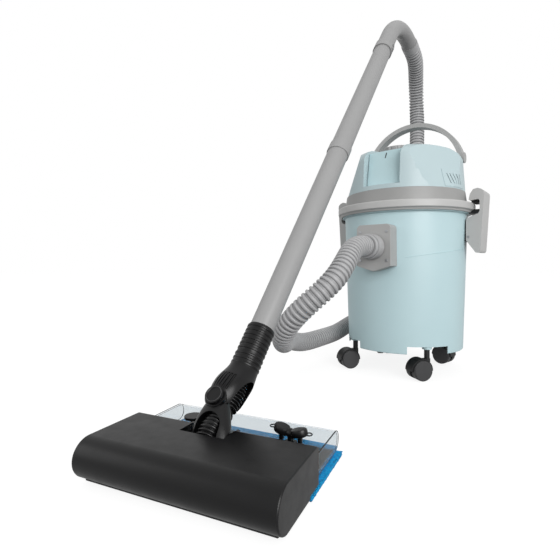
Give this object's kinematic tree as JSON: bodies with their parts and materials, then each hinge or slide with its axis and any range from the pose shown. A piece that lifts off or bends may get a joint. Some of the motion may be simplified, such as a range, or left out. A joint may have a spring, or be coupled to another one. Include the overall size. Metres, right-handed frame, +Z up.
{
  "type": "wet and dry drum vacuum cleaner",
  "caption": "Wheeled drum vacuum cleaner with latched motor head, bail handle, ribbed hose, bent wand and powered floor head with clear water tank and mop pad.",
  "frame": {"origin": "on the floor, in the middle of the plan box of the rigid parts (the hose left out)", "axes": "+Z up; +Y from the floor head towards the drum; +X to the right when the drum is looked at from the floor head"},
  "size_m": [0.3947, 1.1059, 0.9035],
  "materials": {
    "shell": "satin pale blue moulded plastic",
    "trim": "fine satin gray plastic",
    "hose_gray": "ribbed gray plastic",
    "tube_gray": "smooth satin gray plastic tube",
    "black": "fine textured black plastic",
    "black_gloss": "smooth satin black plastic",
    "castor_face": "dark gray plastic wheel",
    "rubber": "matte black rubber",
    "steel": "plain steel",
    "fan_metal": "plain aluminium",
    "motor_metal": "dark coated motor casing",
    "filter": "pleated off-white filter cloth",
    "ball": "off-white hollow plastic",
    "clear": "clear smoky plastic tank",
    "plate_blue": "dark blue plastic plate",
    "mop": "blue microfibre mop cloth",
    "bristle": "blue brush fibre on a roller"
  },
  "bodies": {
    "drum": {"tank": "shell", "inlet_plate": "trim", "inlet_screws": "steel", "inlet_seal": "rubber", "inlet_deflector": "black", "hose_cuff": "hose_gray", "hose": "hose_gray", "hose_end_cuff": "hose_gray", "tank_gasket": "rubber", "clamp_ring": "trim", "head_base": "trim", "motor_cover": "shell", "control_panel": "shell", "switch_module": "black", "cord_gland": "rubber", "motor": "motor_metal", "fan_shroud": "black", "float_cage": "black", "filter_media": "filter", "filter_caps": "black", "handle_pins": "steel", "latch_mounts": "black", "latch_pins": "steel", "rim_brackets": "black"},
    "knob": {"power_knob": "tube_gray"},
    "fan": {"impeller": "fan_metal"},
    "float": {"float_ball": "ball"},
    "bail": {"bail_handle": "trim"},
    "left_latch": {"latch_left": "trim", "latch_pad_left": "rubber"},
    "right_latch": {"latch_right": "trim", "latch_pad_right": "rubber"},
    "wand": {"handle_bend": "tube_gray", "handle_cuff": "tube_gray", "wand_upper": "tube_gray", "wand_lower": "tube_gray", "neck_socket": "black", "neck_upper": "black_gloss", "neck_hose_upper": "rubber"},
    "air_gate": {"air_slide": "tube_gray"},
    "yoke": {"neck_lower": "black", "neck_hose_lower": "rubber", "roll_pin": "black_gloss"},
    "floor_head": {"floor_housing": "black_gloss", "end_caps": "black_gloss", "base_plate": "black"},
    "brush": {"brush_roller": "bristle"},
    "tray": {"water_tank": "clear", "mop_plate": "plate_blue", "mop_pad": "mop"},
    "cap": {"fill_cap": "black_gloss"},
    "valve": {"valve_knob": "black_gloss"},
    "castor_1": {"castor_fork_1": "black"},
    "wheels_1": {"castor_wheels_1": "castor_face"},
    "castor_2": {"castor_fork_2": "black"},
    "wheels_2": {"castor_wheels_2": "castor_face"},
    "castor_3": {"castor_fork_3": "black"},
    "wheels_3": {"castor_wheels_3": "castor_face"},
    "castor_4": {"castor_fork_4": "black"},
    "wheels_4": {"castor_wheels_4": "castor_face"}
  },
  "joints": [
    {"name": "castor_swivel_1", "type": "hinge", "parent": "drum", "child": "castor_1", "pos_m": [-0.08839, 0.22361, 0.07], "axis": [0, 0, 1], "continuous": true},
    {"name": "castor_roll_1", "type": "hinge", "parent": "castor_1", "child": "wheels_1", "pos_m": [-0.10012, 0.20804, 0.022], "axis": [0.7986, -0.6018, 0], "continuous": true},
    {"name": "castor_swivel_2", "type": "hinge", "parent": "drum", "child": "castor_2", "pos_m": [0.08839, 0.22361, 0.07], "axis": [0, 0, 1], "continuous": true},
    {"name": "castor_roll_2", "type": "hinge", "parent": "castor_2", "child": "wheels_2", "pos_m": [0.07665, 0.20804, 0.022], "axis": [0.7986, -0.6018, 0], "continuous": true},
    {"name": "castor_swivel_3", "type": "hinge", "parent": "drum", "child": "castor_3", "pos_m": [0.08839, 0.40039, 0.07], "axis": [0, 0, 1], "continuous": true},
    {"name": "castor_roll_3", "type": "hinge", "parent": "castor_3", "child": "wheels_3", "pos_m": [0.06913, 0.40344, 0.022], "axis": [-0.1564, -0.9877, 0], "continuous": true},
    {"name": "castor_swivel_4", "type": "hinge", "parent": "drum", "child": "castor_4", "pos_m": [-0.08839, 0.40039, 0.07], "axis": [0, 0, 1], "continuous": true},
    {"name": "castor_roll_4", "type": "hinge", "parent": "castor_4", "child": "wheels_4", "pos_m": [-0.10066, 0.41554, 0.022], "axis": [-0.7771, -0.6293, 0], "continuous": true},
    {"name": "power_turn", "type": "hinge", "parent": "drum", "child": "knob", "pos_m": [0, 0.26, 0.5261], "axis": [0, -0.1444, 0.9895], "range_deg": [0, 60]},
    {"name": "fan_spin", "type": "hinge", "parent": "drum", "child": "fan", "pos_m": [0, 0.312, 0.41], "axis": [0, 0, 1], "continuous": true},
    {"name": "float_lift", "type": "slide", "parent": "drum", "child": "float", "axis": [0, 0, 1], "range_m": [0, 0.053]},
    {"name": "bail_swing", "type": "hinge", "parent": "drum", "child": "bail", "pos_m": [0, 0.372, 0.514], "axis": [1, 0, 0], "range_deg": [-88, 35]},
    {"name": "latch_left_open", "type": "hinge", "parent": "drum", "child": "left_latch", "pos_m": [-0.153, 0.335, 0.316], "axis": [0, -1, 0], "range_deg": [0, 34]},
    {"name": "latch_right_open", "type": "hinge", "parent": "drum", "child": "right_latch", "pos_m": [0.153, 0.335, 0.316], "axis": [0, 1, 0], "range_deg": [0, 34]},
    {"name": "hose_swivel", "type": "hinge", "parent": "drum", "child": "wand", "pos_m": [-0.03857, 0.45955, 0.87017], "axis": [-0.0582, 0.9501, -0.3066], "continuous": true},
    {"name": "air_gate_slide", "type": "slide", "parent": "wand", "child": "air_gate", "axis": [-0.0385, 0.6124, 0.7896], "range_m": [0, 0.0095]},
    {"name": "neck_roll", "type": "hinge", "parent": "wand", "child": "yoke", "pos_m": [0.01293, -0.32219, 0.07273], "axis": [-0.1751, 0.6722, -0.7193], "range_deg": [-45, 45]},
    {"name": "neck_pitch", "type": "hinge", "parent": "yoke", "child": "floor_head", "pos_m": [0.022, -0.357, 0.038], "axis": [0.9677, 0.2521, 0], "range_deg": [-36, 9]},
    {"name": "brush_spin", "type": "hinge", "parent": "floor_head", "child": "brush", "pos_m": [0.03763, -0.417, 0.0225], "axis": [0.9677, 0.2521, 0], "continuous": true},
    {"name": "tray_slide", "type": "slide", "parent": "floor_head", "child": "tray", "axis": [-0.2521, 0.9677, 0], "range_m": [0, 0.07]},
    {"name": "cap_pull", "type": "slide", "parent": "tray", "child": "cap", "axis": [0, 0, 1], "range_m": [0, 0.011]},
    {"name": "valve_turn", "type": "hinge", "parent": "tray", "child": "valve", "pos_m": [0.10776, -0.29746, 0.045], "axis": [0, 0, 1], "range_deg": [0, 90]}
  ]
}
